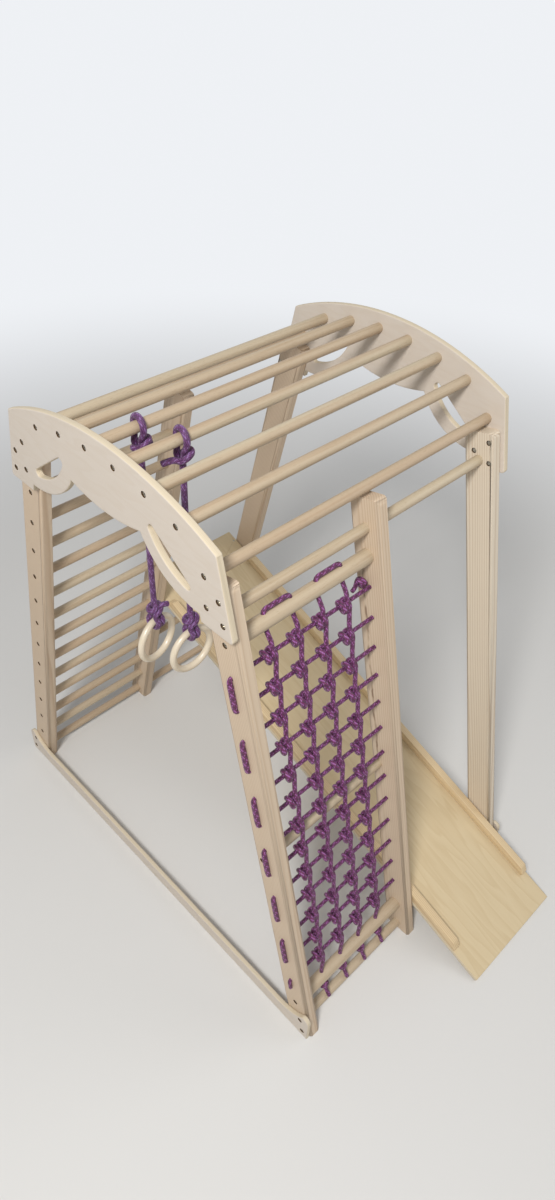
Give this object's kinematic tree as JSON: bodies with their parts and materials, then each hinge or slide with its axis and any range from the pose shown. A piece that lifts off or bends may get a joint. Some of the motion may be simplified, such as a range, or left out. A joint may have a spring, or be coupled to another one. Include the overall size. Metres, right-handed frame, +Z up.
{
  "type": "wooden climbing frame",
  "caption": "Free-standing wooden climbing frame with splayed legs, arched side plates, top rungs, ladder wall, rope net, hanging rings and a plywood slide.",
  "frame": {"origin": "on the floor under the middle of the whole part's box", "axes": "+Z up, +X along the rungs from the net's side to the slide's side, +Y from the slide's foot to the ladder wall"},
  "size_m": [0.8602, 1.5256, 1.4887],
  "materials": {
    "birch_plywood": "clear matt lacquer",
    "pine": "sanded, clear matt lacquer",
    "rung_wood": "sanded, clear matt lacquer",
    "slide_plywood": "clear satin lacquer",
    "varnished_beech": "gloss varnish",
    "net_rope": "braided polypropylene rope",
    "ring_rope": "braided polypropylene rope",
    "steel": "zinc plated"
  },
  "bodies": {
    "frame": {"near_arch_plate": "birch_plywood", "far_arch_plate": "birch_plywood", "near_back_leg": "pine", "mid_back_post": "pine", "far_back_leg": "pine", "near_front_leg": "pine", "mid_front_post": "pine", "far_front_leg": "pine", "top_rung_1": "rung_wood", "top_rung_2": "rung_wood", "top_rung_3": "rung_wood", "top_rung_4": "rung_wood", "top_rung_5": "rung_wood", "top_rung_6": "rung_wood", "top_rung_7": "rung_wood", "top_rung_8": "rung_wood", "near_tie_rung": "rung_wood", "far_tie_rung": "rung_wood", "wall_rung_1": "rung_wood", "wall_rung_2": "rung_wood", "wall_rung_3": "rung_wood", "wall_rung_4": "rung_wood", "wall_rung_5": "rung_wood", "wall_rung_6": "rung_wood", "wall_rung_7": "rung_wood", "wall_rung_8": "rung_wood", "wall_rung_9": "rung_wood", "wall_rung_10": "rung_wood", "wall_rung_11": "rung_wood", "wall_rung_12": "rung_wood", "wall_rung_13": "rung_wood", "far_low_rung": "rung_wood", "far_middle_rung": "rung_wood", "slide_rung": "rung_wood", "net_top_bar": "rung_wood", "net_bottom_bar": "rung_wood", "net_foot_rung": "rung_wood", "net_back_rung": "rung_wood", "near_stretcher": "birch_plywood", "far_stretcher": "birch_plywood", "net_cross_rope": "net_rope", "net_down_rope_1": "net_rope", "net_down_rope_2": "net_rope", "rung_screws": "steel", "post_studs": "steel", "plate_bolts": "steel", "plate_nuts": "steel", "stretcher_screws": "steel"},
    "ring_rope_1": {"ring_rope_1": "ring_rope"},
    "ring_1": {"ring_1": "varnished_beech"},
    "ring_rope_2": {"ring_rope_2": "ring_rope"},
    "ring_2": {"ring_2": "varnished_beech"},
    "slide": {"slide_board": "slide_plywood", "slide_near_rail": "pine", "slide_far_rail": "pine", "slide_cleat": "pine", "slide_screws": "steel"}
  },
  "joints": [
    {"name": "ring_rope_1_swing", "type": "hinge", "parent": "frame", "child": "ring_rope_1", "pos_m": [-0.3041, 0.15188, 1.44979], "axis": [1, 0, 0], "range_deg": [-6, 25]},
    {"name": "ring_1_tilt", "type": "hinge", "parent": "ring_rope_1", "child": "ring_1", "pos_m": [-0.3041, 0.15188, 0.93279], "axis": [0.9744, 0.225, 0], "range_deg": [-20, 20]},
    {"name": "ring_rope_2_swing", "type": "hinge", "parent": "frame", "child": "ring_rope_2", "pos_m": [-0.2701, 0.06153, 1.44979], "axis": [1, 0, 0], "range_deg": [-25, 6]},
    {"name": "ring_2_tilt", "type": "hinge", "parent": "ring_rope_2", "child": "ring_2", "pos_m": [-0.2701, 0.06153, 0.93879], "axis": [0.9997, 0.0262, 0], "range_deg": [-20, 20]},
    {"name": "slide_lift", "type": "hinge", "parent": "frame", "child": "slide", "pos_m": [0.1993, 0.59953, 0.51703], "axis": [-1, 0, 0], "range_deg": [0, 50]}
  ]
}
